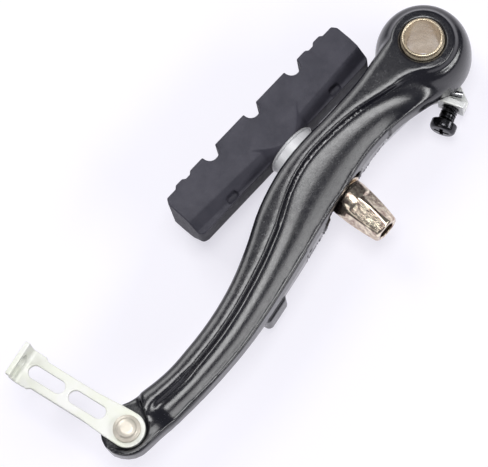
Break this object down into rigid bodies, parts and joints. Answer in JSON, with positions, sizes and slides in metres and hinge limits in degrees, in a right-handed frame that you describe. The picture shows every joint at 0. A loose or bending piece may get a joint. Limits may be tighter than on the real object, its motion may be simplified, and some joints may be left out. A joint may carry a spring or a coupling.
{
  "type": "v-brake arm assembly",
  "caption": "Bicycle rim brake arm with pivot bushing, return spring, spring screw, noodle link, brake pad and pad hardware.",
  "frame": {"origin": "on the pivot axis, at the back end of the bushing, which seats on the frame's stud", "axes": "+Z along the pivot axis from the back seat to the front face; +Y up the arm to the noodle link; +X along the pad stud towards the rim"},
  "size_m": [0.0402, 0.1264, 0.0225],
  "materials": {
    "black_paint": "satin black paint with a fine grain",
    "yellow_zinc": "yellow zinc plating",
    "bright_zinc": "bright zinc plating",
    "rivet_steel": "plain steel, bright",
    "washer_steel": "silver zinc plating, satin",
    "spring_wire": "drawn wire, bright",
    "black_steel": "black oxide, satin",
    "pad_rubber": "moulded rubber, matte"
  },
  "bodies": {
    "root": {"pivot_bushing": "yellow_zinc", "spring_plate": "bright_zinc", "stop_pin": "bright_zinc", "return_spring": "spring_wire"},
    "adjuster": {"adjuster_screw": "black_steel"},
    "arm": {"arm": "black_paint", "link_rivet": "rivet_steel"},
    "link": {"link": "bright_zinc"},
    "pad_carrier": {"cup_washer_in": "washer_steel", "cup_washer_out": "yellow_zinc"},
    "pad": {"pad_rubber": "pad_rubber", "pad_stud": "rivet_steel", "dome_washer_in": "washer_steel", "dome_washer_out": "yellow_zinc", "flat_washer": "yellow_zinc", "pad_nut": "yellow_zinc"}
  },
  "joints": [
    {"name": "arm_pivot", "type": "hinge", "parent": "root", "child": "arm", "pos_m": [0, 0, 0], "axis": [0, 0, 1], "range_deg": [-18, 6], "stiffness_Nm_per_rad": 1, "deforming": ["return_spring"]},
    {"name": "link_pivot", "type": "hinge", "parent": "arm", "child": "link", "pos_m": [-0.0105, 0.1065, 0.01325], "axis": [0, 0, 1], "range_deg": [-37, 19]},
    {"name": "pad_height", "type": "slide", "parent": "arm", "child": "pad_carrier", "axis": [0, 1, 0], "range_m": [-0.001, 0.004]},
    {"name": "pad_twist", "type": "hinge", "parent": "pad_carrier", "child": "pad", "pos_m": [0, 0.0358, 0.0086], "axis": [1, 0, 0], "range_deg": [-90, 90]},
    {"name": "adjuster_turn", "type": "hinge", "parent": "root", "child": "adjuster", "pos_m": [-0.00878, -0.00337, 0.0036], "axis": [-0.3584, 0.9336, 0], "range_deg": [-360, 360]}
  ]
}
